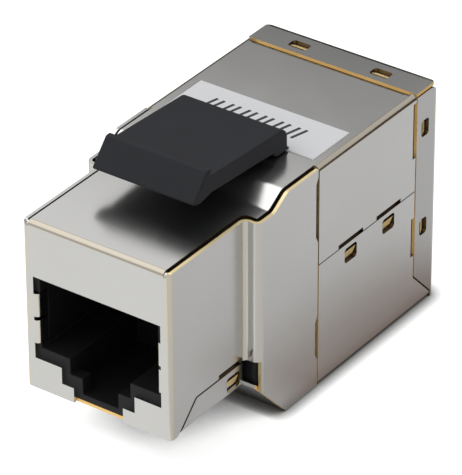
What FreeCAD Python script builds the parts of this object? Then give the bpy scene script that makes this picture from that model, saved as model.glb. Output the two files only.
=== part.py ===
import FreeCAD, Part
import math
import os
from FreeCAD import Vector

os.makedirs("parts", exist_ok=True)

# Folded shield: the sheet, its bends, and the open lines between its edges
sheet = 0.3
bend = 0.3
corner_bend = 0.4
step_bend = 0.55
ramp_bend = 1.0
cap_bend = 0.7
seam = 0.16
flap_gap = 0.1
top_seam = 0.3
wall_drop = 0.12
lap = 0.04
joggle_run = 0.45

# Largest share of a side that the rounding of a corner takes
corner_share = 0.48

# Room between pieces that are pushed together
fit = 0.06

# Outside of the coupler, with lengths taken from the front face
overall_length = 36.8
nose_height = 16.0
nose_length = 10.25
step_out = 1.4
top_rise = 1.1
foot_drop = 4.25
foot_run = 4.0
ramp_start = 12.5
ramp_run = 1.8
side_seam = 18.85
flap_seam = 11.9
cap_depth = 3.45
cap_flange_low = 3.35
cap_flange_slant = 2.7
cap_corner = 1.5
cap_top_inset = 0.1

# Stretches of the side seam where the front shield's edge is cut back
relief_depth = 0.3
relief_run = 0.6
low_relief_start = 2.7
low_relief_end = 7.05
high_relief_start = 14.25
high_relief_end = 20.5

# Necks of the side flaps that go under the cap
low_neck_start = 5.55
low_neck_end = 9.35
high_neck_start = 15.3

# Flap of the bottom shield along the nose
nose_flap_height = 2.35
nose_flap_lead = 0.85
nose_flap_knee = 3.4
nose_flap_short = 0.35
notch_depth = 0.45

# Tongues under the flaps, and the windows that show them
nose_tongue_start = 6.6
nose_tongue_end = 9.5
flap_tongue_width = 3.65
tongue_depth = 2.6
tongue_root = 0.9
tongue_relief = 0.35
tongue_run = 0.15
window_length = 1.8
window_height = 1.45
window_edge = 0.4
window_corner = 0.2
nose_window_start = 7.7
flap_window_start = 3.8
flap_window_end = 5.05
cap_window_front = 0.7
cap_window_length = 1.1
cap_window_width = 1.85
cap_window_offset = 4.2
cap_side_window_height = 1.6
cap_side_window_upper = 16.8
cap_side_window_lower = 7.0
lance_sheet = 0.22
lance_room = 0.15

# Port opening in the sheet, the face and the plastic lip beside it, with heights taken from the nose floor
port_width = 12.8
port_side = 0.95
port_lip = 0.45
port_floor = 2.95
port_roof = 10.8
port_step_width = 7.4
port_step_floor = 1.4
port_slot_width = 5.0
port_slot_floor = 0.45
ground_tab_depth = 1.3
ground_tab_sheet = 0.2
ground_tab_bend = 0.5
ground_tab_lead = 0.65
ground_tab_low = 4.4
ground_tab_height = 2.2
ground_tab_gap = 0.35

# Plug cavity in the plastic, with heights taken from the nose floor
cavity_floor = 3.9
cavity_height = 6.85
cavity_depth = 12.4
port_wall = 1.5
tab_width = 6.1
tab_floor = 2.4
tab_slot_width = 3.6
tab_slot_floor = 0.9
tab_pocket_depth = 9.5
housing_chamfer = 0.5

# Contacts, their comb and the board
contact_count = 8
contact_pitch = 1.02
contact_sheet = 0.25
contact_width = 0.4
contact_bend = 1.2
contact_front = 4.0
contact_run_height = 13.4
contact_low_height = 10.65
contact_tip = 11.4
contact_tip_height = 8.6
contact_tail = 0.3
tail_row = 1.3
rear_tail_row = 2
tail_lead = 0.45
tail_jog = 0.8
tail_room = 2.6
comb_slot = 0.56
comb_rib_rise = 0.3
comb_cheek = 0.5
comb_shoulder = 0.8
comb_back = 2.4
block_room = 0.2
block_floor = 0.55
pocket_front = 3.1
pocket_height = 3.2
board_thickness = 1.6
board_width = 15.2
board_low = 1.2
board_hole = 0.6
board_hole_sides = 12

# Latch and its seat
latch_width = 10.2
latch_lip_front = 6.35
latch_lip_height = 1.2
latch_lip_run = 2.0
latch_lip_rise = 2.25
latch_lip_flat = 0.55
latch_catch = 0.6
latch_arm = 1.6
latch_arm_fall = 0.6
latch_back = 19.5
latch_back_bend = 1.5
latch_edge = 0.15
latch_crest = 0.3
latch_tip = 0.2
latch_fillet = 0.5
latch_heel = 0.45
latch_heel_height = 0.3
latch_relief = 0.25
latch_pivot = 18.1
latch_bead = 0.7
latch_bead_depth = 0.95
latch_neck = 0.9
latch_neck_width = 8.4
latch_swing = 0.3
bridge_reach = 1.8
bridge_floor = 0.6

# Sticker on the top panel
label_start = 19.5
label_length = 5.25
label_width = 15.1
label_thickness = 0.08
label_shift = 0.1

# Places that follow from the sizes above
half = sheet / 2
inset = sheet + lap
front = -overall_length / 2
rear = overall_length / 2
nose_x = port_width / 2 + port_side
cavity_width = port_width - 2 * port_lip
body_x = nose_x + step_out
nose_floor = foot_drop
nose_roof = nose_floor + nose_height
body_roof = nose_roof + top_rise
step_y = front + nose_length
seam_y = front + side_seam
cap_front = rear - cap_depth
joggle_end = cap_front - seam
joggle_start = joggle_end - joggle_run
shell_end = rear - sheet - fit
cap_flat = rear - half - cap_bend
nose_flat = nose_x - half - bend
body_flat = body_x - half - corner_bend
notch_roof = nose_floor + nose_flap_height + seam
flap_edge = flap_seam + flap_gap
inner_width = body_x - sheet - fit
board_front = -board_thickness / 2
foot_slope = foot_drop / foot_run
foot_slant = math.hypot(1, foot_slope)
ground_tab_x = (cavity_width + ground_tab_sheet) / 2
first_tab = nose_floor + ground_tab_low
ground_tab_heights = [first_tab, first_tab + ground_tab_height + ground_tab_gap]
flap_windows = [seam_y + flap_window_start, cap_front - flap_window_end]
flap_window_low = flap_seam - window_edge - window_height
pivot_y = front + latch_pivot
pivot_z = body_roof - sheet - fit - latch_bead_depth
slot_x = latch_neck_width / 2 + 2 * fit
slot_y = latch_neck / 2 + latch_swing
block_half = contact_count * contact_pitch / 2 + comb_cheek
bridge_low = pivot_z - latch_bead - fit - bridge_floor
bridge_end = pivot_y + bridge_reach


def in_yz(u, v):
    return Vector(0, u, v)


def in_xz(u, v):
    return Vector(u, 0, v)


def in_xy(u, v):
    return Vector(u, v, 0)


across = {in_yz: Vector(1, 0, 0), in_xz: Vector(0, 1, 0), in_xy: Vector(0, 0, 1)}


def left_of(direction):
    return Vector(-direction.y, direction.x, 0)


def corner(before, point, after, radius, shift=0):
    """Marks of a corner moved to the left by shift: one where it is sharp, three along its arc."""
    into = (point - before).normalize()
    out = (after - point).normalize()
    if not radius:
        sides = left_of(into) + left_of(out)
        return [point + sides * (2 * shift / sides.Length ** 2)]
    turn = math.atan2(into.cross(out).z, into.dot(out))
    ease = math.tan(abs(turn) / 2)
    room = corner_share * min((point - before).Length, (after - point).Length)
    reach = min(radius * ease, room)
    side = math.copysign(1, turn)
    start = point - into * reach
    end = point + out * reach
    centre = start + left_of(into) * (side * reach / ease)
    middle = centre + (point - centre).normalize() * (reach / ease - side * shift)
    return [start + left_of(into) * shift, middle, end + left_of(out) * shift]


def raised(marks, plane, start, end):
    """Closed line through the marks of its corners, raised from start to end."""
    edges = []
    for mark, following in zip(marks, marks[1:] + marks[:1]):
        here = [plane(point.x, point.y) for point in mark]
        if len(here) == 3:
            edges.append(Part.Arc(*here).toShape())
        there = plane(following[0].x, following[0].y)
        edges.append(Part.LineSegment(here[-1], there).toShape())
    face = Part.Face(Part.Wire(edges))
    face.translate(across[plane] * start)
    return face.extrude(across[plane] * (end - start))


def one_side(points, radii, shift):
    """Marks along a path, moved to the left by shift."""
    flat = [Vector(u, v, 0) for u, v in points]
    first = (flat[1] - flat[0]).normalize()
    last = (flat[-1] - flat[-2]).normalize()
    marks = [corner(*place, shift) for place in zip(flat, flat[1:], flat[2:], radii)]
    return [[flat[0] + left_of(first) * shift]] + marks + [[flat[-1] + left_of(last) * shift]]


def bent(points, plane, start, end, radius=bend, thickness=sheet):
    """Bent sheet whose middle follows the points, as wide as from start to end."""
    radii = radius if isinstance(radius, list) else [radius] * len(points)
    left = one_side(points, radii, thickness / 2)
    right = one_side(points, radii, -thickness / 2)
    return raised(left + [mark[::-1] for mark in reversed(right)], plane, start, end)


def block(points, plane, start, end):
    """Outline raised from start to end, where a point's third value rounds its corner."""
    flat = [Vector(point[0], point[1], 0) for point in points]
    marks = []
    for i, point in enumerate(points):
        radius = point[2] if len(point) == 3 else 0
        marks.append(corner(flat[i - 1], flat[i], flat[(i + 1) % len(flat)], radius))
    return raised(marks, plane, start, end)


def window(u0, u1, v0, v1, plane, start, end):
    """Room of a window with cut corners."""
    cut = window_corner
    low = [(u0, v0 + cut), (u0 + cut, v0), (u1 - cut, v0), (u1, v0 + cut)]
    high = [(u1, v1 - cut), (u1 - cut, v1), (u0 + cut, v1), (u0, v1 - cut)]
    return block(low + high, plane, start, end)


def box(x0, x1, y0, y1, z0, z1):
    return Part.makeBox(x1 - x0, y1 - y0, z1 - z0, Vector(x0, y0, z0))


def both(points):
    """Outline from its right half, with the left half mirrored."""
    return points + [(-point[0], *point[1:]) for point in reversed(points)]


def left_copy(shape):
    return shape.mirror(Vector(0, 0, 0), Vector(1, 0, 0))


def rear_copy(shape):
    return shape.mirror(Vector(0, 0, 0), Vector(0, 1, 0))


def joined(shapes):
    return shapes[0].multiFuse(shapes[1:]).removeSplitter()


def pair(shapes):
    return shapes + [left_copy(shape) for shape in shapes]


def save(name, shape):
    shape.exportStep("parts/" + name + ".step")


def foot_y(z, lift):
    """Place along the sloped foot plate at height z, lifted square from its middle."""
    return step_y + (nose_floor + half + lift * foot_slant - z) / foot_slope


def flange_line(y):
    """Height of the open line below the slanted end of the cap's side."""
    slope = cap_flange_slant / (cap_flat - cap_front)
    return cap_flange_low - (y - cap_front) * slope - seam * math.hypot(1, slope)


def tongue_ends(window_y):
    """Ends of the flap tongue that lies behind a window."""
    middle = window_y + window_length / 2
    return middle - flap_tongue_width / 2, middle + flap_tongue_width / 2


def port_outline(slot_floor):
    """Stepped port opening in the sheet, from its right half."""
    return both([
        (port_slot_width / 2, slot_floor),
        (port_slot_width / 2, nose_floor + port_step_floor),
        (port_step_width / 2, nose_floor + port_step_floor),
        (port_step_width / 2, nose_floor + port_floor),
        (port_width / 2, nose_floor + port_floor),
        (port_width / 2, nose_floor + port_roof),
    ])


def ground_tabs():
    """Right-hand pair of tabs folded in from the side of the front port."""
    x = ground_tab_x
    y = front + ground_tab_sheet / 2
    path = [(x + ground_tab_lead, y), (x, y), (x, front + ground_tab_depth)]
    tabs = []
    for z in ground_tab_heights:
        tabs.append(bent(path, in_xy, z, z + ground_tab_height, ground_tab_bend, ground_tab_sheet))
    return tabs


def tab_clearances():
    """Sheet that gives way to the folds of the right-hand tabs."""
    x = ground_tab_x + ground_tab_bend
    rooms = []
    for z in ground_tab_heights:
        rooms.append(box(0, x, front - sheet, front + sheet, z, z + ground_tab_height))
    return rooms


def side_lance(x, z0, y0):
    """Raised tab that leans out from a tongue at x - inset and catches the window above it."""
    foot = (x - half - inset, z0 + lance_room)
    tip = (x - lance_sheet / 2 - lap, z0 + window_height - 2 * lance_room)
    y1 = y0 + window_length - lance_room
    return bent([foot, tip], in_xz, y0 + lance_room, y1, bend, lance_sheet)


def cap_lance_path(outer):
    """Middle line of a tab that leans out towards the front below a cap window."""
    window_end = cap_front + cap_window_front + cap_window_length
    foot = (window_end - lance_room, outer - half - inset)
    tip = (cap_front + cap_window_front + lance_room, outer - lance_sheet / 2 - lap)
    return [foot, tip]


def cap_side_lance(z0):
    path = [(x, y) for y, x in cap_lance_path(body_x)]
    z1 = z0 + cap_side_window_height - lance_room
    return bent(path, in_xy, z0 + lance_room, z1, bend, lance_sheet)


def side_neck(z0, z1):
    """End of a side flap that steps in under the cap."""
    x = body_x - half
    path = [(x, joggle_start - joggle_run), (x, joggle_start), (x - inset, joggle_end), (x - inset, cap_flat)]
    return bent(path, in_xy, z0, z1)


def seam_relief(z0, z1):
    """Room along the side seam where the edge of the front shield is cut back."""
    edge = seam_y - seam
    deep = edge - relief_depth
    outline = [
        (seam_y, z0),
        (edge, z0),
        (deep, z0 + relief_run),
        (deep, z1 - relief_run),
        (edge, z1),
        (seam_y, z1),
    ]
    return block(outline, in_yz, -body_x, body_x)


def top_panel():
    path = [
        (front + half, nose_roof - 2 * (bend + half)),
        (front + half, nose_roof - half),
        (front + ramp_start, nose_roof - half),
        (front + ramp_start + ramp_run, body_roof - half),
        (joggle_start, body_roof - half),
        (joggle_end, body_roof - half - inset),
        (cap_flat, body_roof - half - inset),
    ]
    edge = sheet + top_seam
    plan = both([
        (nose_x - edge, front - sheet),
        (nose_x - edge, step_y + edge, step_bend + half + top_seam),
        (body_x - edge, step_y + edge, step_bend - half - top_seam),
        (body_x - edge, seam_y),
        (body_flat, seam_y),
        (body_flat, joggle_start),
        (body_flat - inset, joggle_start),
        (body_flat - inset, rear),
    ])
    panel = bent(path, in_yz, -body_x, body_x, [bend, ramp_bend, ramp_bend, bend, bend])
    panel = panel.common(block(plan, in_xy, 0, body_roof + sheet))
    return panel.cut(box(-slot_x, slot_x, pivot_y - slot_y, pivot_y + slot_y, nose_roof, body_roof + sheet))


def front_walls():
    """Front face, nose sides and body sides, folded from one strip."""
    path = [
        (body_x - half, seam_y - seam),
        (body_x - half, step_y + half),
        (nose_x - half, step_y + half),
        (nose_x - half, front + half),
    ]
    bends = [step_bend, step_bend, bend]
    notch_back = step_y + notch_depth
    foot_front = nose_floor + half - half * foot_slant - notch_depth * foot_slope
    side = [
        (front, nose_floor),
        (front, nose_roof - wall_drop, bend + half),
        (front + ramp_start, nose_roof - wall_drop, ramp_bend),
        (front + ramp_start + ramp_run, body_roof - wall_drop, ramp_bend),
        (seam_y, body_roof - wall_drop),
        (seam_y, 0),
        (foot_y(0, -half), 0, bend + half),
        (notch_back, foot_front),
        (notch_back, notch_roof),
        (front + nose_flap_knee, notch_roof),
        (front + nose_flap_lead, nose_floor),
    ]
    walls = bent(both(path), in_xy, 0, body_roof, bends + bends[::-1])
    walls = walls.common(block(side, in_yz, -body_x, body_x))
    tongue_room = box(nose_x - inset, nose_x + sheet, front + nose_tongue_start, front + nose_tongue_end,
                      notch_roof - sheet, notch_roof + tongue_relief)
    rooms = pair(tab_clearances() + [tongue_room])
    rooms.append(block(port_outline(nose_floor - sheet), in_xz, front - sheet, front + 2 * sheet))
    rooms.append(seam_relief(low_relief_start, low_relief_end))
    rooms.append(seam_relief(high_relief_start, high_relief_end))
    for room in rooms:
        walls = walls.cut(room)
    return walls


def tongue(x, edge, low, y0, y1):
    """Tongue that steps in behind the flap below it, from a side at x whose edge is at this height."""
    path = [
        (x - half, edge + tongue_relief + tongue_root),
        (x - half, edge + tongue_relief),
        (x - half - inset, edge + tongue_relief - tongue_run),
        (x - half - inset, low),
    ]
    return bent(path, in_xz, y0, y1)


def front_shield():
    high_neck_end = body_roof - corner_bend - sheet
    flap_path = [
        (body_flat - bend, body_roof - half),
        (body_x - half, body_roof - half),
        (body_x - half, flap_edge),
    ]
    flap = bent(flap_path, in_xz, seam_y, joggle_end, corner_bend)
    flap = flap.cut(box(0, body_flat, joggle_start, rear, nose_roof, body_roof + sheet))
    flap = flap.cut(box(0, 2 * body_x, joggle_start, rear, high_neck_start, high_neck_end))
    y0 = front + nose_tongue_start
    y1 = front + nose_tongue_end
    tongues = [
        tongue(nose_x, notch_roof, nose_floor + sheet + bend, y0, y1),
        side_lance(nose_x, nose_floor + window_edge, front + nose_window_start),
    ]
    for y in flap_windows:
        y0, y1 = tongue_ends(y)
        flap = flap.cut(box(0, 2 * body_x, y0, y1, flap_seam, flap_edge + tongue_relief))
        tongues.append(tongue(body_x, flap_edge, flap_edge - tongue_depth, y0, y1))
        tongues.append(side_lance(body_x, flap_window_low, y))
    lance_x = cap_window_offset - cap_window_width / 2 + lance_room
    lance_end = cap_window_offset + cap_window_width / 2 - lance_room
    necks = [
        side_neck(high_neck_start, high_neck_end),
        cap_side_lance(cap_side_window_upper),
        bent(cap_lance_path(body_roof), in_yz, lance_x, lance_end, bend, lance_sheet),
    ]
    return joined([top_panel(), front_walls()] + pair([flap] + tongues + necks + ground_tabs()))


def bottom_shield():
    plate_path = [
        (front + sheet + fit, nose_floor + half),
        (step_y, nose_floor + half),
        (step_y + foot_run, half),
        (shell_end, half),
    ]
    wing_x = inner_width - fit
    plate_plan = both([
        (nose_flat, front),
        (nose_flat, step_y),
        (wing_x, step_y),
        (wing_x, seam_y),
        (body_flat, seam_y),
        (body_flat, cap_flat),
        (body_flat - inset, shell_end),
    ])
    plate = bent(plate_path, in_yz, -body_x, body_x)
    plate = plate.common(block(plate_plan, in_xy, -sheet, nose_floor + bend))
    nose_path = [
        (nose_flat - bend, nose_floor + half),
        (nose_x - half, nose_floor + half),
        (nose_x - half, nose_floor + nose_flap_height),
    ]
    nose_side = [
        (front + nose_flap_lead + 2 * seam, nose_floor),
        (front + nose_flap_knee + seam, nose_floor + nose_flap_height),
        (step_y - nose_flap_short, nose_floor + nose_flap_height),
        (step_y - nose_flap_short, nose_floor),
    ]
    nose_flap = bent(nose_path, in_xz, front, step_y).common(block(nose_side, in_yz, 0, body_x))
    y = front + nose_window_start
    z = nose_floor + window_edge
    room = window(y, y + window_length, z, z + window_height, in_yz, nose_x - inset, body_x)
    nose_flap = nose_flap.cut(room)
    flap_path = [
        (body_flat - bend, half),
        (body_x - half, half),
        (body_x - half, flap_seam),
    ]
    flap = bent(flap_path, in_xz, seam_y, shell_end, corner_bend)
    cap_room = [
        (joggle_end, flap_seam + sheet),
        (joggle_end, flange_line(joggle_end)),
        (cap_flat - seam, flange_line(cap_flat - seam)),
        (cap_flat - seam, -sheet),
        (rear, -sheet),
        (rear, flap_seam + sheet),
    ]
    flap = flap.cut(block(cap_room, in_yz, 0, 2 * body_x))
    flap = flap.cut(box(0, 2 * body_x, joggle_start, rear, low_neck_start, low_neck_end))
    window_end = flap_window_low + window_height
    for y in flap_windows:
        room = window(y, y + window_length, flap_window_low, window_end, in_yz, body_x - inset, 2 * body_x)
        flap = flap.cut(room)
    neck = [side_neck(low_neck_start, low_neck_end), cap_side_lance(cap_side_window_lower)]
    return joined([plate] + pair([nose_flap, flap] + neck))


def rear_cap():
    wall_path = [(body_x - half, cap_front), (body_x - half, rear - half)]
    wall_top = body_roof - inset
    wall_side = [
        (rear, 0),
        (rear, wall_top, cap_corner),
        (cap_front, wall_top),
        (cap_front, cap_flange_low),
        (cap_flat, cap_flange_low - cap_flange_slant),
        (cap_flat, 0),
    ]
    walls = bent(both(wall_path), in_xy, 0, body_roof, cap_bend)
    walls = walls.common(block(wall_side, in_yz, -body_x, body_x))
    top_path = [
        (rear - half, body_roof - 2 * cap_corner),
        (rear - half, body_roof - half),
        (cap_front, body_roof - half),
    ]
    top_plan = both([
        (body_x - cap_top_inset, cap_front),
        (body_x - cap_top_inset, cap_flat),
        (body_x - half - cap_bend, rear),
        (body_x - half - cap_bend, rear + sheet),
    ])
    top = bent(top_path, in_yz, -body_x, body_x, cap_bend)
    top = top.common(block(top_plan, in_xy, 0, body_roof + sheet))
    port = block(port_outline(nose_floor + port_slot_floor), in_xz, rear - 2 * sheet, rear + sheet)
    folds = [rear_copy(room) for room in pair(tab_clearances())]
    pan = joined([walls, top]).cut(port).cut(Part.makeCompound(folds))
    y0 = cap_front + cap_window_front
    y1 = y0 + cap_window_length
    x0 = cap_window_offset - cap_window_width / 2
    holes = [window(x0, x0 + cap_window_width, y0, y1, in_xy, nose_roof, body_roof + sheet)]
    for z in (cap_side_window_lower, cap_side_window_upper):
        holes.append(window(y0, y1, z, z + cap_side_window_height, in_yz, body_x - inset, 2 * body_x))
    pan = pan.cut(Part.makeCompound(pair(holes)))
    return joined([pan] + [rear_copy(tab) for tab in pair(ground_tabs())])


def plug_cavity():
    """Room for the plug, its tab and the contact block, cut into the front housing."""
    roof = nose_floor + cavity_floor + cavity_height
    floor = nose_floor + cavity_floor
    tab = nose_floor + tab_floor
    slot = nose_floor + tab_slot_floor
    port = both([
        (tab_slot_width / 2, slot),
        (tab_slot_width / 2, tab),
        (tab_width / 2, tab),
        (tab_width / 2, floor),
        (cavity_width / 2, floor),
        (cavity_width / 2, roof),
    ])
    mouth = block(port, in_xz, front, front + port_wall)
    main = box(-cavity_width / 2, cavity_width / 2, front + port_wall, front + cavity_depth, floor, roof)
    pocket = box(-tab_width / 2, tab_width / 2, front + port_wall, front + tab_pocket_depth, slot, floor)
    x = block_half + fit
    comb = box(-x, x, front + pocket_front, board_front, roof, roof + pocket_height)
    tabs_low = ground_tab_heights[0] - fit
    tabs_high = ground_tab_heights[1] + ground_tab_height + fit
    tab_x = port_width / 2 + sheet + fit
    folds = box(-tab_x, tab_x, front, front + ground_tab_depth + fit, tabs_low, tabs_high)
    tails_low = nose_floor + contact_run_height - (rear_tail_row + 1) * tail_row - board_hole
    tails = box(-x, x, board_front - tail_room, board_front, tails_low, roof + pocket_height)
    return joined([mouth, main, pocket, comb, folds, tails])


def front_jack_housing():
    low = nose_floor + sheet + fit
    base = sheet + fit
    step_back = step_y + sheet + fit
    side = [
        (front + sheet, low),
        (foot_y(low, half + fit), low),
        (foot_y(base, half + fit), base),
        (board_front, base),
        (board_front, bridge_low),
        (bridge_end, bridge_low),
        (bridge_end, body_roof - sheet - fit),
        (front + ramp_start + ramp_run + sheet, body_roof - sheet - fit),
        (front + ramp_start + sheet, nose_roof - sheet - fit),
        (front + sheet + housing_chamfer, nose_roof - sheet - fit),
        (front + sheet, nose_roof - sheet - fit - housing_chamfer),
    ]
    nose_in = nose_x - sheet - fit
    plan = both([
        (nose_in - housing_chamfer, front + sheet),
        (nose_in, front + sheet + housing_chamfer),
        (nose_in, step_back),
        (inner_width - housing_chamfer, step_back),
        (inner_width, step_back + housing_chamfer),
        (inner_width, bridge_end),
    ])
    section = both([
        (inner_width - housing_chamfer, 0),
        (inner_width, housing_chamfer),
        (inner_width, body_roof - sheet - fit - housing_chamfer),
        (inner_width - housing_chamfer, body_roof - sheet - fit),
    ])
    solid = block(side, in_yz, -inner_width, inner_width)
    solid = solid.common(block(plan, in_xy, 0, body_roof)).common(block(section, in_xz, front, rear))
    tongue_x = nose_x - sheet - inset - fit
    tongue_roof = notch_roof + tongue_relief + sheet
    recess = box(tongue_x, nose_x, front + nose_tongue_start - seam, step_back, low, tongue_roof)
    groove_end = Vector(-slot_x, pivot_y, pivot_z)
    groove = Part.makeCylinder(latch_bead + fit, 2 * slot_x, groove_end, Vector(1, 0, 0))
    mouth = box(-slot_x, slot_x, pivot_y - slot_y, pivot_y + slot_y, pivot_z, body_roof)
    skirt = box(nose_x - sheet - bend, nose_x, front, step_back, nose_floor, nose_floor + sheet + bend)
    return solid.cut(Part.makeCompound(pair([recess, skirt]))).cut(plug_cavity()).cut(joined([groove, mouth]))


def rear_jack_housing():
    base = sheet + fit
    roof = body_roof - sheet - fit
    section = both([
        (inner_width - housing_chamfer, base),
        (inner_width, base + housing_chamfer),
        (inner_width, roof - housing_chamfer),
        (inner_width - housing_chamfer, roof),
    ])
    neck_x = inner_width - inset
    neck = both([
        (neck_x - housing_chamfer, base),
        (neck_x, base + housing_chamfer),
        (neck_x, roof - inset - housing_chamfer),
        (neck_x - housing_chamfer, roof - inset),
    ])
    solid = joined([
        block(section, in_xz, -board_front, joggle_start - seam),
        block(neck, in_xz, joggle_start - joggle_run, rear - sheet),
    ])
    end = rear - sheet
    reach = housing_chamfer + inset + sheet
    plan = both([
        (neck_x - housing_chamfer + reach, 0),
        (neck_x - housing_chamfer + reach, end - reach),
        (neck_x - housing_chamfer, end),
    ])
    side = [
        (0, 0),
        (end, 0),
        (end, roof - inset - housing_chamfer),
        (end - reach, roof - inset - housing_chamfer + reach),
        (0, roof - inset - housing_chamfer + reach),
    ]
    solid = solid.common(block(plan, in_xy, 0, body_roof)).common(block(side, in_yz, -body_x, body_x))
    bridge_room = box(-body_x, body_x, front, bridge_end + fit, bridge_low - fit, body_roof)
    tongue_x = body_x - sheet - inset - fit
    recesses = []
    for y in flap_windows:
        y0, y1 = tongue_ends(y)
        low = flap_edge - tongue_depth - seam
        high = flap_edge + tongue_relief + sheet
        recesses.append(box(tongue_x, body_x, y0 - seam, y1 + seam, low, high))
    solid = solid.cut(Part.makeCompound(pair(recesses)))
    return solid.cut(bridge_room).cut(rear_copy(plug_cavity()))


def contact_block():
    """Comb that carries the front contacts, with a rib between each two."""
    run = nose_floor + contact_run_height
    low = nose_floor + contact_low_height + block_floor
    start = front + contact_front + contact_sheet + block_room
    end = board_front - comb_back
    top = run - block_room
    core = [
        (start, low),
        (end, low),
        (end, top),
        (start + comb_shoulder, top),
        (start, top - comb_shoulder),
    ]
    lead = contact_sheet + 2 * block_room
    rib_top = run + comb_rib_rise
    rib = [
        (start - lead, low),
        (end, low),
        (end, rib_top),
        (start - lead + 2 * comb_shoulder, rib_top),
        (start - lead, rib_top - 2 * comb_shoulder),
    ]
    rib_half = (contact_pitch - comb_slot) / 2
    roof = nose_floor + cavity_floor + cavity_height + pocket_height - fit
    cheek = [(start - lead, low), (end, low), (end, roof), (start, roof)]
    pieces = [block(core, in_yz, -block_half, block_half)]
    for i in range(1, contact_count):
        x = (i - contact_count / 2) * contact_pitch
        pieces.append(block(rib, in_yz, x - rib_half, x + rib_half))
    cheek_x = contact_count * contact_pitch / 2 - rib_half
    pieces += pair([block(cheek, in_yz, cheek_x, block_half)])
    return joined(pieces)


def contact_place(number):
    return (number - (contact_count - 1) / 2) * contact_pitch


def contact(number, first_row):
    """Front contact: a tail in the board, a run along the comb, and a spring that slopes into the port."""
    run = nose_floor + contact_run_height
    tail = run - tail_row * (first_row + number % 2)
    path = [(-board_front + contact_tail, tail)]
    radii = [contact_bend, contact_bend]
    if tail < run:
        path.append((board_front - tail_lead, tail))
        path.append((board_front - tail_lead - tail_jog, run))
        radii = [0, 0] + radii
    path += [
        (front + contact_front, run),
        (front + contact_front, nose_floor + contact_low_height),
        (front + contact_tip, nose_floor + contact_tip_height),
    ]
    x = contact_place(number)
    return bent(path, in_yz, x - contact_width / 2, x + contact_width / 2, radii, contact_sheet)


def circuit_board():
    x = board_width / 2
    board = box(-x, x, board_front, -board_front, board_low, bridge_low - fit)
    holes = []
    for number in range(contact_count):
        x = contact_place(number)
        for first_row in (0, rear_tail_row):
            z = nose_floor + contact_run_height - tail_row * (first_row + number % 2)
            rim = []
            for i in range(board_hole_sides):
                turn = 2 * math.pi * i / board_hole_sides
                rim.append((x + board_hole / 2 * math.cos(turn), z + board_hole / 2 * math.sin(turn)))
            holes.append(block(rim, in_xz, board_front, -board_front))
    return board.cut(Part.makeCompound(holes))


def latch():
    lip_y = front + latch_lip_front
    lip_z = body_roof + latch_lip_height
    crest_z = lip_z + latch_lip_rise
    arm_front = lip_y + latch_lip_run + latch_lip_flat
    arm_z = crest_z - latch_catch
    back_y = front + latch_back
    back_z = arm_z - latch_arm_fall
    heel_z = body_roof + label_thickness + lap
    neck_y = pivot_y - latch_neck / 2
    arm = [
        (lip_y, lip_z, latch_edge),
        (lip_y + latch_lip_run, crest_z, latch_crest),
        (arm_front, crest_z, latch_edge),
        (arm_front, arm_z, latch_edge),
        (back_y, back_z, latch_back_bend),
        (back_y, heel_z + latch_heel_height, latch_crest),
        (back_y + latch_heel, heel_z),
        (pivot_y, heel_z),
        (neck_y, heel_z + latch_relief),
        (neck_y, back_z - latch_arm, latch_back_bend / 2),
        (arm_front, arm_z - latch_arm, latch_fillet),
        (lip_y + latch_lip_run / 2, lip_z - latch_lip_flat / 2, latch_tip),
    ]
    body = block(arm, in_yz, -latch_width / 2, latch_width / 2)
    x = latch_neck_width / 2
    neck = box(-x, x, neck_y, neck_y + latch_neck, pivot_z, heel_z + latch_heel_height)
    bead = Part.makeCylinder(latch_bead, latch_neck_width, Vector(-x, pivot_y, pivot_z), Vector(1, 0, 0))
    return joined([body, neck, bead])


def label():
    start = front + label_start
    x = label_width / 2
    top = body_roof + label_thickness
    return box(label_shift - x, label_shift + x, start, start + label_length, body_roof, top)


save("front_shield", front_shield())
save("bottom_shield", bottom_shield())
save("rear_cap", rear_cap())
save("front_jack_housing", front_jack_housing())
save("rear_jack_housing", rear_jack_housing())
save("front_contact_block", contact_block())
save("rear_contact_block", rear_copy(contact_block()))
for number in range(contact_count):
    save("front_contact_" + str(number + 1), contact(number, 0))
    save("rear_contact_" + str(number + 1), rear_copy(contact(number, rear_tail_row)))
save("circuit_board", circuit_board())
save("latch", latch())
save("label", label())
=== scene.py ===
import math

import bmesh
import bpy
from mathutils import Matrix, Vector
from mathutils.bvhtree import BVHTree


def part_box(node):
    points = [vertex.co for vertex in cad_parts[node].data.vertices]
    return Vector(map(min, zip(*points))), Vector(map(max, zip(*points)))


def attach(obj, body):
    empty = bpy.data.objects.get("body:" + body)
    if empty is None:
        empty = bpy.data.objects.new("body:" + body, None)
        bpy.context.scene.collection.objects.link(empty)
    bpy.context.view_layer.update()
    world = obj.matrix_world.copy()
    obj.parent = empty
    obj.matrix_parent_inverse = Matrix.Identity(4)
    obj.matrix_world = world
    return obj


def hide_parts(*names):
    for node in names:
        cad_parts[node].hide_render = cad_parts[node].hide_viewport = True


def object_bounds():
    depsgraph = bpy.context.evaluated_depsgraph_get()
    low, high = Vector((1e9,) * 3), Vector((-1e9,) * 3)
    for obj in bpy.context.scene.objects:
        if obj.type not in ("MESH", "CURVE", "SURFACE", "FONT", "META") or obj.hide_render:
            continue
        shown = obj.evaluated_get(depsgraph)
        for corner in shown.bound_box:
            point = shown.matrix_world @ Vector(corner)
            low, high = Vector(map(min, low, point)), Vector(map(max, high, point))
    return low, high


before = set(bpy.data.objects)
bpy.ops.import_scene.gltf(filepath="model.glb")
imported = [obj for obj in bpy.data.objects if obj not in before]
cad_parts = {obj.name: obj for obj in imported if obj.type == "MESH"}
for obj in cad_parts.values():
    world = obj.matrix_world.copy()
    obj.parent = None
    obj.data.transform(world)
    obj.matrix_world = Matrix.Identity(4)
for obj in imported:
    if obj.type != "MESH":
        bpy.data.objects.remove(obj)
cad_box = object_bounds()

MM = 0.001

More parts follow.
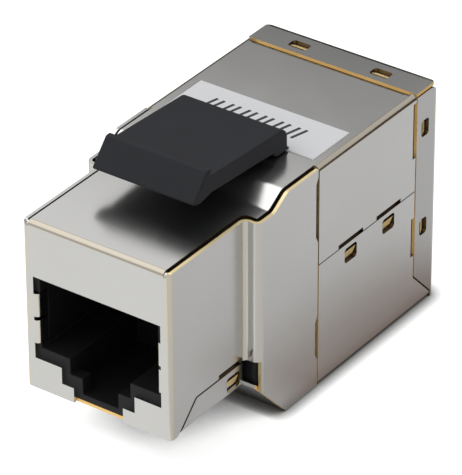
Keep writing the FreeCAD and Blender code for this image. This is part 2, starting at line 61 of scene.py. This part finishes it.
# Finishes of a shield, in the order of its material slots; the third is dark brass as painted shade
NICKEL, BRIGHT, SHADE_RIM, TAB = range(4)
# Rear cap's nickel is darker than the body's by this share: painted shade
CAP_SHADE = 0.82

# Sheet metal: the thickest wall of the sheet and of its raised tabs, and the largest short rim
SHEET_LIMIT = 0.36 * MM
TAB_LIMIT = 0.78 * MM
SMALL_RIM = 0.62 * MM * MM

# Sheet metal: the places where its rims are plated, dull or bright
PORT_REACH = 6.9 * MM
PORT_TOP = 16.0 * MM
PORT_DEPTH = 0.3 * MM
PANEL_LOW = 19.8 * MM
PANEL_END = 0.5 * MM
SEAM_HEIGHT = 12.1 * MM

# Sheet metal: its bends, where they lie, and how strongly they are painted with highlight and shade
BEND_WIDTH = 0.45 * MM
BEND_LOW = math.radians(2)
BEND_HIGH = math.radians(32)
RAMP_FRONT = -7.5 * MM
RAMP_BACK = -2.5 * MM
FRONT_FOLD = -17.6 * MM
INNER_FOLD = 0.35
BEND_PAINT = 0.9

# Which way a face points: how far its normal has to go along an axis
TOP_LIKE = 0.85
FACING = 0.5
LEANING = 0.3
UPRIGHT = 0.15

# Plastic mouldings: how far their edges are eased, and in how many steps
MOULD_EASE = 0.07 * MM
LATCH_EASE = 0.14 * MM
EASE_STEPS = 3

# Mesh cleaning
WELD = 0.0005 * MM
REACH = 50 * MM
FLAT_ANGLE = math.radians(0.2)
EDGE_ANGLE = math.radians(35)

# Solder round the contact tails
SOLDER_FOOT = 0.46 * MM
SOLDER_TOP = 0.2 * MM
SOLDER_HEIGHT = 0.3 * MM
SOLDER_SIDES = 16
TAIL_TIP = 0.05 * MM

# Print on the label: six pairs of slanted strokes
PRINT_PAIRS = 6
PRINT_PITCH = 1.68 * MM
PRINT_GAP = 0.72 * MM
PRINT_STROKE = (0.30 * MM, 1.85 * MM, 0.004 * MM)
PRINT_SLANT = math.radians(-14)
PRINT_SET_BACK = 2.65 * MM
PRINT_SHIFT = -0.25 * MM

# Camera, placed from the photograph
CAMERA_PLACE = Vector((174.28, -242.48, 197.33)) * MM
CAMERA_AZIMUTH = math.radians(35.684)
CAMERA_ELEVATION = math.radians(31.864)
CAMERA_ROLL = math.radians(-0.222)
CAMERA_LENS = 318.78
CAMERA_SENSOR = 36.0
CAMERA_NEAR = 10 * MM
CAMERA_FAR = 10.0

# Floor: its paper in the open and under its painted shadow, its glow, and how far that painted shadow
# reaches and dims the glow
FLOOR_SIZE = 6.0
FLOOR_DROP = 0.03 * MM
FLOOR_PALE = 0.80
FLOOR_PAINTED_SHADOW = 0.15
FLOOR_TO_CAMERA = 0.74
FLOOR_TO_METAL = 0.24
CONTACT_SHADOW = 1.3 * MM
ROOF_SHADOW = 9 * MM
ROOF_DARK = 0.08
ROOF_CLEAR = 0.36

# Studio light
SKY_FILL = 0.37
KEY_TOWARDS = Vector((-0.50, -0.16, 0.85))
KEY_DISTANCE = 0.40
KEY_SIZE = 0.60
KEY_RADIANCE = 0.9

# Studio panels that only mirror in the metal, as painted reflections: two corners and a colour; the side
# card has soft edges
REAR_PANEL = (Vector((-210, 62, 0)) * MM, Vector((-15, 62, 70)) * MM, (0.41, 0.41, 0.405))
SIDE_PANEL = (Vector((-15, 62, 0)) * MM, Vector((160, 62, 42)) * MM, (0.12, 0.09, 0.07))
DARK_STRIP = (Vector((-210, 60, 12)) * MM, Vector((-15, 60, 46)) * MM, (0.05, 0.05, 0.055))
FRONT_CARD = (Vector((-90, -110, 0.2)) * MM, Vector((12, -19.5, 0.2)) * MM, (1.0, 1.0, 0.98))
# Side card: painted shade, a dark card mirrored low in the right side as the floor there in the object's
# shadow
SIDE_SHADE_CARD = (Vector((8.8, -6, 0.2)) * MM, Vector((18, 26, 0.2)) * MM, (0.28, 0.21, 0.18))
SIDE_SHADE_COVER = 0.8
SIDE_SHADE_CORE = 0.6

# Colour sockets of a Mix node, which share their names with its other sockets
MIX_SHARE, MIX_FIRST, MIX_SECOND, MIX_RESULT = 0, 6, 7, 2


class Shade:
    """One output of a tree's nodes, whose arithmetic adds Math nodes."""

    def __init__(self, tree, socket=None):
        self.tree = tree
        self.socket = socket

    def node(self, kind, settings=None, sockets=None, output=0):
        """Adds a node, makes its settings, feeds its sockets and wraps one output."""
        made = self.tree.nodes.new(kind)
        for name, value in (settings or {}).items():
            setattr(made, name, value)
        for name, value in (sockets or {}).items():
            if isinstance(value, Shade):
                self.tree.links.new(value.socket, made.inputs[name])
            else:
                made.inputs[name].default_value = value
        return Shade(self.tree, made.outputs[output] if made.outputs else None)

    def maths(self, operation, first, second):
        """Adds one Math node on two values."""
        return self.node("ShaderNodeMath", {"operation": operation}, {0: first, 1: second})

    def __add__(self, other):
        return self.maths("ADD", self, other)

    def __radd__(self, other):
        return self.maths("ADD", other, self)

    def __sub__(self, other):
        return self.maths("SUBTRACT", self, other)

    def __rsub__(self, other):
        return self.maths("SUBTRACT", other, self)

    def __mul__(self, other):
        return self.maths("MULTIPLY", self, other)

    def __rmul__(self, other):
        return self.maths("MULTIPLY", other, self)

    def most(self, other):
        """The larger of two values."""
        return self.maths("MAXIMUM", self, other)

    def blend(self, first, second):
        """Colour between two colours, by this value."""
        sockets = {MIX_SHARE: self, MIX_FIRST: first, MIX_SECOND: second}
        return self.node("ShaderNodeMix", {"data_type": "RGBA"}, sockets, MIX_RESULT)

    def mix(self, first, second):
        """Surface between two surfaces, by this value."""
        return self.node("ShaderNodeMixShader", None, {0: self, 1: first, 2: second})


def rgb(red, green, blue):
    """Colour as a socket takes it."""
    return (red, green, blue, 1.0)


def grey(level):
    """Neutral colour as a socket takes it."""
    return rgb(level, level, level)


def start_material(name):
    """Empty material, and the wrapper that fills it."""
    material = bpy.data.materials.new(name)
    material.use_nodes = True
    material.node_tree.nodes.clear()
    return material, Shade(material.node_tree)


def end_material(shade, sockets):
    """Closes a material with one surface shader."""
    surface = shade.node("ShaderNodeBsdfPrincipled", None, sockets)
    shade.node("ShaderNodeOutputMaterial", None, {"Surface": surface})


def noise(shade, scale, detail, stretch=(1.0, 1.0, 1.0)):
    """Noise in object space, with scale in cells for each metre, stretched along the axes."""
    place = shade.node("ShaderNodeTexCoord", None, None, "Object")
    place = shade.node("ShaderNodeMapping", None, {"Vector": place, "Scale": stretch})
    return shade.node("ShaderNodeTexNoise", None, {"Vector": place, "Scale": scale, "Detail": detail})


def bump(shade, height, depth, normal=None):
    """Normal of a fine relief of the given depth, over another normal if there is one."""
    sockets = {"Height": height, "Distance": depth, "Strength": 1.0}
    if normal:
        sockets["Normal"] = normal
    return shade.node("ShaderNodeBump", None, sockets)


def nickel_sheet(name, light):
    """Satin nickel on rolled sheet, dimmed by light as painted shade; painted highlight on folds, painted
    shade on bends.
    """
    material, shade = start_material(name)
    bend_shade = shade.node("ShaderNodeAttribute", {"attribute_name": "bend_shade"}, None, "Fac")
    fold_highlight = shade.node("ShaderNodeAttribute", {"attribute_name": "fold_highlight"}, None, "Fac")
    haze = noise(shade, scale=160, detail=3.0)
    grain = noise(shade, scale=5200, detail=2.0, stretch=(1.0, 0.06, 1.0))
    waviness = noise(shade, scale=95, detail=1.0)
    dull = rgb(0.570 * light, 0.565 * light, 0.552 * light)
    clean = rgb(0.620 * light, 0.615 * light, 0.602 * light)
    # Painted highlight: a cream tint on the upright folds; painted shade: a darker warm tint on the other
    # bends
    colour = (fold_highlight * BEND_PAINT).blend(haze.blend(dull, clean), rgb(0.66, 0.59, 0.44))
    colour = (bend_shade * BEND_PAINT).blend(colour, rgb(0.38, 0.34, 0.275))
    surface = bump(shade, waviness, depth=0.012 * MM)
    surface = bump(shade, grain, depth=0.0006 * MM, normal=surface)
    end_material(shade, {
        "Base Color": colour,
        "Metallic": 1.0,
        "Roughness": 0.15 + haze * 0.08 + grain * 0.03,
        "Normal": surface,
    })
    return material


def brass_edge(name, dark, bright, roughness):
    """Bare brass where the sheet was sheared, with streaks across its thickness."""
    material, shade = start_material(name)
    streaks = noise(shade, scale=9000, detail=2.0)
    blotches = noise(shade, scale=420, detail=2.0)
    end_material(shade, {
        "Base Color": blotches.blend(dark, bright),
        "Metallic": 1.0,
        "Roughness": roughness + streaks * 0.16,
        "Normal": bump(shade, streaks, depth=0.004 * MM),
    })
    return material


def moulded_plastic(name, dark, light, roughness, gloss):
    """Black moulded plastic with a fine spark-eroded texture."""
    material, shade = start_material(name)
    texture = noise(shade, scale=14000, detail=2.0)
    flow = noise(shade, scale=220, detail=2.0)
    end_material(shade, {
        "Base Color": flow.blend(dark, light),
        "Roughness": roughness + texture * 0.12,
        "Specular IOR Level": gloss,
        "Normal": bump(shade, texture, depth=0.006 * MM),
    })
    return material


def gold_contact():
    """Gold plate over nickel on the contact springs."""
    material, shade = start_material("gold_contact")
    wear = noise(shade, scale=900, detail=3.0)
    end_material(shade, {
        "Base Color": wear.blend(rgb(0.90, 0.62, 0.22), rgb(0.98, 0.76, 0.36)),
        "Metallic": 1.0,
        "Roughness": 0.18 + wear * 0.12,
    })
    return material


def board_laminate():
    """Green solder mask over woven glass."""
    material, shade = start_material("board_laminate")
    weave = noise(shade, scale=2600, detail=1.0)
    end_material(shade, {
        "Base Color": weave.blend(rgb(0.010, 0.085, 0.035), rgb(0.018, 0.120, 0.050)),
        "Roughness": 0.32 + weave * 0.1,
        "Normal": bump(shade, weave, depth=0.004 * MM),
    })
    return material


def solder_metal():
    """Frosted solder."""
    material, shade = start_material("solder_metal")
    frost = noise(shade, scale=6000, detail=2.0)
    end_material(shade, {
        "Base Color": frost.blend(rgb(0.55, 0.56, 0.58), rgb(0.68, 0.69, 0.71)),
        "Metallic": 1.0,
        "Roughness": 0.24 + frost * 0.14,
    })
    return material


def label_paper():
    """Coated white paper with a faint fibre."""
    material, shade = start_material("label_paper")
    fibre = noise(shade, scale=5000, detail=3.0)
    end_material(shade, {
        "Base Color": fibre.blend(rgb(0.88, 0.885, 0.905), rgb(0.93, 0.935, 0.955)),
        "Roughness": 0.48 + fibre * 0.1,
        "Normal": bump(shade, fibre, depth=0.003 * MM),
    })
    return material


def label_ink():
    """Black ink that has spread a little in the paper."""
    material, shade = start_material("label_ink")
    spread = noise(shade, scale=7000, detail=2.0)
    end_material(shade, {
        "Base Color": spread.blend(rgb(0.012, 0.012, 0.014), rgb(0.03, 0.03, 0.033)),
        "Roughness": 0.4 + spread * 0.15,
    })
    return material


def merged(node):
    """The node's triangles as one closed mesh."""
    mesh = bmesh.new()
    mesh.from_mesh(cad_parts[node].data)
    bmesh.ops.remove_doubles(mesh, verts=mesh.verts, dist=WELD)
    bmesh.ops.dissolve_degenerate(mesh, edges=mesh.edges, dist=WELD)
    return mesh


def flattened(mesh):
    """Joins the triangles of each flat face."""
    parts = {"verts": mesh.verts, "edges": mesh.edges}
    bmesh.ops.dissolve_limit(mesh, angle_limit=FLAT_ANGLE, delimit={"MATERIAL"}, **parts)


def mark_cut_edges(mesh, ends):
    """Gives bare brass to faces that lie across the sheet, darkened as painted shade in the windows and
    gaps.
    """
    tree = BVHTree.FromBMesh(mesh)
    for face in mesh.faces:
        middle = face.calc_center_median()
        *_, through = tree.ray_cast(middle - face.normal * WELD, -face.normal, REACH)
        depth = through or REACH
        if depth > SHEET_LIMIT and not is_plated(face.normal, middle, ends):
            face.material_index = brass_finish(face.normal, middle, depth)


def brass_finish(normal, middle, depth):
    """Slot of a cut edge: painted shade beside the top panel's open line and in seams, or else tab or
    bright.
    """
    by_panel = abs(normal.x) > FACING and middle.z > PANEL_LOW and middle.y < PANEL_END
    in_seam = normal.z > LEANING and middle.z < SEAM_HEIGHT
    if by_panel or in_seam:
        return SHADE_RIM
    on_tab = max(abs(normal.x), normal.z) > FACING and depth < TAB_LIMIT
    return TAB if on_tab else BRIGHT


def is_plated(normal, middle, ends):
    """True for the rims of the ports, and for the top rim of the left side, where the plating holds."""
    near_end = abs(middle.y) > ends - PORT_DEPTH
    in_port = near_end and abs(middle.x) < PORT_REACH and middle.z < PORT_TOP
    on_left = middle.x < 0 and middle.z > PORT_TOP and middle.y < PANEL_END
    return in_port or (on_left and normal.z > FACING)


def mark_small_rims(mesh):
    """Gives the short rims of the windows dark brass as painted shade."""
    for face in mesh.faces:
        middle = face.calc_center_median()
        along_top = face.normal.z > LEANING and middle.z > PORT_TOP and middle.y < PANEL_END
        if face.material_index == BRIGHT and not along_top and face.calc_area() < SMALL_RIM:
            face.material_index = SHADE_RIM


def mark_bends(mesh):
    """Marks upright folds for painted highlight, most at the front, and other bends, bar the ramp, for
    painted shade.
    """
    bend_shade = mesh.faces.layers.float.new("bend_shade")
    fold_highlight = mesh.faces.layers.float.new("fold_highlight")
    for face in mesh.faces:
        if not is_bend(face):
            continue
        middle = face.calc_center_median()
        if abs(face.normal.z) < UPRIGHT:
            at_front = middle.y < FRONT_FOLD and abs(middle.x) > PORT_REACH
            face[fold_highlight] = 1.0 if at_front else INNER_FOLD
        elif face.normal.z < TOP_LIKE or not RAMP_FRONT < middle.y < RAMP_BACK:
            face[bend_shade] = 1.0


def is_bend(face):
    """True for a narrow plated face that runs smoothly into its neighbours."""
    lengths = [edge.calc_length() for edge in face.edges]
    smooth = 0.0
    for edge, length in zip(face.edges, lengths):
        if BEND_LOW < edge.calc_face_angle(0.0) < BEND_HIGH:
            smooth += length
    narrow = face.calc_area() / max(lengths) < BEND_WIDTH
    return narrow and face.material_index == NICKEL and smooth > sum(lengths) / 2


def finished(name, mesh, materials, ease=None):
    """Object with smooth bends, and eased edges if asked, as a plain mesh at the origin."""
    data = bpy.data.meshes.new(name)
    mesh.to_mesh(data)
    mesh.free()
    for material in materials:
        data.materials.append(material)
    data.shade_smooth()
    data.set_sharp_from_angle(angle=EDGE_ANGLE)
    draft = bpy.data.objects.new(name + "_draft", data)
    bpy.context.scene.collection.objects.link(draft)
    if ease:
        rims = draft.modifiers.new("rims", "BEVEL")
        rims.width = ease
        rims.segments = EASE_STEPS
        rims.limit_method = "ANGLE"
        rims.angle_limit = EDGE_ANGLE
        rims.use_clamp_overlap = False
    shading = draft.modifiers.new("shading", "WEIGHTED_NORMAL")
    shading.keep_sharp = True
    return baked(name, draft)


def baked(name, draft):
    """Plain object from a draft and its modifiers; the draft is removed."""
    graph = bpy.context.evaluated_depsgraph_get()
    result = draft.evaluated_get(graph)
    data = bpy.data.meshes.new_from_object(result, preserve_all_data_layers=True, depsgraph=graph)
    data.name = name
    bpy.data.objects.remove(draft)
    piece = bpy.data.objects.new(name, data)
    bpy.context.scene.collection.objects.link(piece)
    return piece


def placed(piece, body, slot, *nodes):
    """Puts a piece on its body, in place of the nodes that it stands for. The slot is not used."""
    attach(piece, body)
    if nodes:
        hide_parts(*nodes)


def add_shields():
    """The three stampings, plated on their faces and bare on their cut edges."""
    body = nickel_sheet("nickel_sheet", light=1.0)
    cap = nickel_sheet("nickel_cap_shaded", light=CAP_SHADE)
    rim = brass_edge("brass_rim", rgb(0.66, 0.53, 0.27), rgb(0.82, 0.71, 0.43), roughness=0.46)
    strip = brass_edge("brass_strip", rgb(0.84, 0.56, 0.20), rgb(0.95, 0.73, 0.36), roughness=0.62)
    tab = brass_edge("brass_tab", rgb(0.58, 0.43, 0.19), rgb(0.86, 0.69, 0.37), roughness=0.62)
    # Dark brass as painted shade in the windows, gaps and seams
    dull = brass_edge("brass_painted_shade", rgb(0.07, 0.045, 0.02), rgb(0.17, 0.115, 0.055), roughness=0.34)
    rows = [("front_shield", body, rim), ("bottom_shield", body, strip), ("rear_cap", cap, strip)]
    for node, nickel, bright in rows:
        mesh = merged(node)
        mark_cut_edges(mesh, cad_box[1].y)
        flattened(mesh)
        mark_small_rims(mesh)
        mark_bends(mesh)
        piece = finished(node + "_sheet", mesh, [nickel, bright, dull, tab])
        placed(piece, "coupler", "shield_metal", node)


def add_mouldings():
    """The plastic housings and the latch, with eased edges, and the contact blocks."""
    # Jack plastic: near black, darker than the latch's, partly its own black and partly painted shade in
    # the ports
    tones = rgb(0.008, 0.008, 0.009), rgb(0.013, 0.013, 0.014)
    jack = moulded_plastic("jack_plastic", *tones, roughness=0.45, gloss=0.22)
    tones = rgb(0.025, 0.026, 0.030), rgb(0.033, 0.034, 0.039)
    grip = moulded_plastic("latch_plastic", *tones, roughness=0.5, gloss=0.12)
    rows = [
        ("front_jack_housing", "coupler", "jack_plastic", jack, MOULD_EASE),
        ("rear_jack_housing", "coupler", "jack_plastic", jack, MOULD_EASE),
        ("latch", "latch", "latch_plastic", grip, LATCH_EASE),
    ]
    for node, body, slot, material, ease in rows:
        mesh = merged(node)
        flattened(mesh)
        placed(finished(node + "_moulding", mesh, [material], ease), body, slot, node)
    for node in ("front_contact_block", "rear_contact_block"):
        dress(node, jack)


def dress(node, material):
    """New finish for a node that keeps its own shape."""
    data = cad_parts[node].data
    data.materials.clear()
    data.materials.append(material)


def add_contacts():
    """The contact springs, which keep their own shapes."""
    gold = gold_contact()
    for node in contact_nodes():
        dress(node, gold)


def contact_nodes():
    """Names of the contact springs, in order."""
    return sorted(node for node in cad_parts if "_contact_" in node and "block" not in node)


class Tree:
    """Geometry node tree with named inputs, whose last nodes realize and finish the copies."""

    def __init__(self, name):
        self.group = bpy.data.node_groups.new(name, "GeometryNodeTree")
        self.group.interface.new_socket("Geometry", in_out="INPUT", socket_type="NodeSocketGeometry")
        self.group.interface.new_socket("Geometry", in_out="OUTPUT", socket_type="NodeSocketGeometry")
        self.entry = self.group.nodes.new("NodeGroupInput")
        self.values = {}

    def size(self, name, value, kind="NodeSocketFloat"):
        """Adds a named input and keeps its value for the modifier."""
        socket = self.group.interface.new_socket(name, in_out="INPUT", socket_type=kind)
        self.values[socket.identifier] = value
        return self.entry.outputs[name]

    def node(self, kind, settings=None, sockets=None):
        """Adds a node, makes its settings, feeds its sockets and returns its outputs."""
        made = self.group.nodes.new(kind)
        for name, value in (settings or {}).items():
            setattr(made, name, value)
        for name, value in (sockets or {}).items():
            if isinstance(value, bpy.types.NodeSocket):
                self.group.links.new(value, made.inputs[name])
            else:
                made.inputs[name].default_value = value
        return made.outputs

    def piece(self, name, points, copies, material):
        """Runs the tree on loose points and returns the result as a plain object."""
        solid = self.node("GeometryNodeRealizeInstances", None, {"Geometry": copies})["Geometry"]
        finish = self.node("GeometryNodeSetMaterial", None, {"Geometry": solid, "Material": material})
        end = self.group.nodes.new("NodeGroupOutput")
        self.group.links.new(finish["Geometry"], end.inputs["Geometry"])
        data = bpy.data.meshes.new(name + "_points")
        data.from_pydata(points, [], [])
        draft = bpy.data.objects.new(name + "_draft", data)
        bpy.context.scene.collection.objects.link(draft)
        modifier = draft.modifiers.new("copies", "NODES")
        modifier.node_group = self.group
        for identifier, value in self.values.items():
            modifier[identifier] = value
        return baked(name, draft)


def tail_end(node):
    """Middle of the contact's tail, where it leaves the board, and the way that it points."""
    corners = [vertex.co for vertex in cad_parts[node].data.vertices]
    side = 1.0 if node.startswith("front") else -1.0
    tip = max(corner.y * side for corner in corners)
    ends = [corner for corner in corners if corner.y * side > tip - TAIL_TIP]
    return sum(ends, Vector()) / len(ends), side


def add_board():
    """The circuit board, with a cone of solder round each contact tail."""
    dress("circuit_board", board_laminate())
    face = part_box("circuit_board")[1].y
    metal = solder_metal()
    for side, name in ((1.0, "front_solder"), (-1.0, "rear_solder")):
        ends = [tail_end(node) for node in contact_nodes()]
        points = [(place.x, side * face, place.z) for place, way in ends if way == side]
        tree = Tree(name)
        foot = tree.size("Foot radius", SOLDER_FOOT)
        top = tree.size("Top radius", SOLDER_TOP)
        height = tree.size("Height", SOLDER_HEIGHT)
        sockets = {"Vertices": SOLDER_SIDES, "Radius Bottom": foot, "Radius Top": top, "Depth": height}
        cone = tree.node("GeometryNodeMeshCone", None, sockets)["Mesh"]
        turn = (-side * math.pi / 2, 0.0, 0.0)
        sockets = {"Points": tree.entry.outputs["Geometry"], "Instance": cone, "Rotation": turn}
        copies = tree.node("GeometryNodeInstanceOnPoints", None, sockets)["Instances"]
        piece = tree.piece(name, points, copies, metal)
        placed(piece, "coupler", "contact_gold")


def add_label():
    """The paper label, with plain slanted strokes as its print."""
    dress("label", label_paper())
    low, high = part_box("label")
    middle = (low.x + high.x) / 2 + PRINT_SHIFT
    points = []
    for mark in range(2 * PRINT_PAIRS):
        pair, second = divmod(mark, 2)
        x = middle + (pair - (PRINT_PAIRS - 1) / 2) * PRINT_PITCH + (second - 0.5) * PRINT_GAP
        points.append((x, low.y + PRINT_SET_BACK, high.z + PRINT_STROKE[2] / 2))
    tree = Tree("label_print")
    stroke = tree.size("Stroke", PRINT_STROKE, "NodeSocketVector")
    slant = tree.size("Slant", (0.0, 0.0, PRINT_SLANT), "NodeSocketVector")
    bar = tree.node("GeometryNodeMeshCube", None, {"Size": stroke})["Mesh"]
    sockets = {"Points": tree.entry.outputs["Geometry"], "Instance": bar, "Rotation": slant}
    copies = tree.node("GeometryNodeInstanceOnPoints", None, sockets)["Instances"]
    placed(tree.piece("label_print", points, copies, label_ink()), "coupler", "label_paper")


def ray_kinds(shade):
    """1 for rays from the camera, or for those that mirror or pass on its view."""
    names = ("Is Camera Ray", "Is Glossy Ray", "Is Transmission Ray")
    camera, glossy, passing = [shade.node("ShaderNodeLightPath", None, None, name) for name in names]
    return camera, glossy.most(passing)


def sheet_piece(name, corners, material):
    """Flat four-sided piece of the studio."""
    data = bpy.data.meshes.new(name)
    data.from_pydata(corners, [], [(0, 1, 2, 3)])
    data.materials.append(material)
    piece = bpy.data.objects.new(name, data)
    bpy.context.scene.collection.objects.link(piece)
    return piece


def faded(value, start, end):
    """1 up to the start, falling to 0 at the end."""
    sockets = {"Value": value, "From Min": start, "From Max": end, "To Min": 1.0, "To Max": 0.0}
    return value.node("ShaderNodeMapRange", None, sockets)


def add_floor():
    """White floor that keeps the object's shadow, with painted shadow near the object and under its
    overhangs.
    """
    material, shade = start_material("floor_paper")
    camera, mirrored = ray_kinds(shade)
    # Painted shadow: ambient occlusion darkens the paper and fades its glow near the object and under
    # overhangs
    nook = shade.node("ShaderNodeAmbientOcclusion", None, {"Distance": CONTACT_SHADOW}, "AO")
    roof = shade.node("ShaderNodeAmbientOcclusion", None, {"Distance": ROOF_SHADOW}, "AO")
    clear = 1.0 - faded(roof, ROOF_DARK, ROOF_CLEAR)
    painted_shadow = shade.node("ShaderNodeBsdfDiffuse", None, {"Color": grey(FLOOR_PAINTED_SHADOW)})
    pale = shade.node("ShaderNodeBsdfDiffuse", None, {"Color": grey(FLOOR_PALE)})
    paper = (nook * clear).mix(painted_shadow, pale)
    glow = shade.node("ShaderNodeEmission", None, {"Color": grey(1.0), "Strength": 1.0})
    bright = shade.node("ShaderNodeAddShader", None, {0: paper, 1: glow})
    share = nook * nook * nook * (camera * clear * FLOOR_TO_CAMERA + mirrored * FLOOR_TO_METAL)
    shade.node("ShaderNodeOutputMaterial", None, {"Surface": share.mix(paper, bright)})
    edge = FLOOR_SIZE / 2
    signs = ((-1, -1), (1, -1), (1, 1), (-1, 1))
    sheet_piece("floor", [(x * edge, y * edge, -FLOOR_DROP) for x, y in signs], material)


def add_panel(name, low, high, colour, cover=None):
    """Upright or lying studio panel, which only mirrors in the metal; one with a cover has soft edges."""
    material, shade = start_material(name)
    surface = shade.node("ShaderNodeEmission", None, {"Color": rgb(*colour), "Strength": 1.0})
    if cover:
        place = shade.node("ShaderNodeTexCoord", None, None, "Object")
        across = shade.node("ShaderNodeSeparateXYZ", None, {"Vector": place}, "X")
        along = shade.node("ShaderNodeSeparateXYZ", None, {"Vector": place}, "Y") - (low.y + high.y) / 2
        reach = (high.y - low.y) / 2
        share = cover * faded(across, low.x, high.x)
        share = share * faded(along * along, (reach * SIDE_SHADE_CORE) ** 2, reach ** 2)
        surface = share.mix(shade.node("ShaderNodeBsdfTransparent"), surface)
    shade.node("ShaderNodeOutputMaterial", None, {"Surface": surface})
    corners = [low, (high.x, low.y, low.z), high, (low.x, high.y, high.z)]
    panel = sheet_piece(name, corners, material)
    panel.visible_camera = False
    panel.visible_diffuse = False
    panel.visible_shadow = False


def add_lights():
    """One large softbox above the left side."""
    lamp = bpy.data.lights.new("key_softbox", "AREA")
    lamp.shape = "SQUARE"
    lamp.size = KEY_SIZE
    lamp.energy = KEY_RADIANCE * math.pi * KEY_SIZE ** 2
    key = bpy.data.objects.new("key_softbox", lamp)
    towards = KEY_TOWARDS.normalized()
    key.location = towards * KEY_DISTANCE
    key.rotation_euler = towards.to_track_quat("Z", "Y").to_euler()
    bpy.context.scene.collection.objects.link(key)


def add_sky():
    """White to the camera and in the metal, softer as light."""
    world = bpy.data.worlds.new("studio")
    world.use_nodes = True
    world.node_tree.nodes.clear()
    shade = Shade(world.node_tree)
    camera, mirrored = ray_kinds(shade)
    soft = shade.node("ShaderNodeBackground", None, {"Color": grey(1.0), "Strength": SKY_FILL})
    white = shade.node("ShaderNodeBackground", None, {"Color": grey(1.0), "Strength": 1.0})
    sky = camera.most(mirrored).mix(soft, white)
    shade.node("ShaderNodeOutputWorld", None, {"Surface": sky})
    bpy.context.scene.world = world


def add_camera():
    """The camera at the photograph's viewing angle."""
    data = bpy.data.cameras.new("camera")
    data.lens = CAMERA_LENS
    data.sensor_width = CAMERA_SENSOR
    data.sensor_fit = "AUTO"
    data.clip_start = CAMERA_NEAR
    data.clip_end = CAMERA_FAR
    level = math.cos(CAMERA_ELEVATION)
    side = math.sin(CAMERA_AZIMUTH)
    ahead = math.cos(CAMERA_AZIMUTH)
    back = Vector((side * level, -ahead * level, math.sin(CAMERA_ELEVATION)))
    right = Vector((ahead, side, 0.0))
    turn = Matrix((right, back.cross(right), back)).transposed() @ Matrix.Rotation(CAMERA_ROLL, 3, "Z")
    camera = bpy.data.objects.new("camera", data)
    camera.matrix_world = Matrix.Translation(CAMERA_PLACE) @ turn.to_4x4()
    bpy.context.scene.collection.objects.link(camera)
    bpy.context.scene.camera = camera


add_shields()
add_mouldings()
add_contacts()
add_board()
add_label()
add_floor()
add_panel("rear_panel", *REAR_PANEL)
add_panel("side_panel", *SIDE_PANEL)
add_panel("dark_strip", *DARK_STRIP)
add_panel("front_card", *FRONT_CARD)
add_panel("side_shade_card", *SIDE_SHADE_CARD, SIDE_SHADE_COVER)
add_lights()
add_sky()
add_camera()
bpy.context.scene.view_settings.view_transform = "Standard"
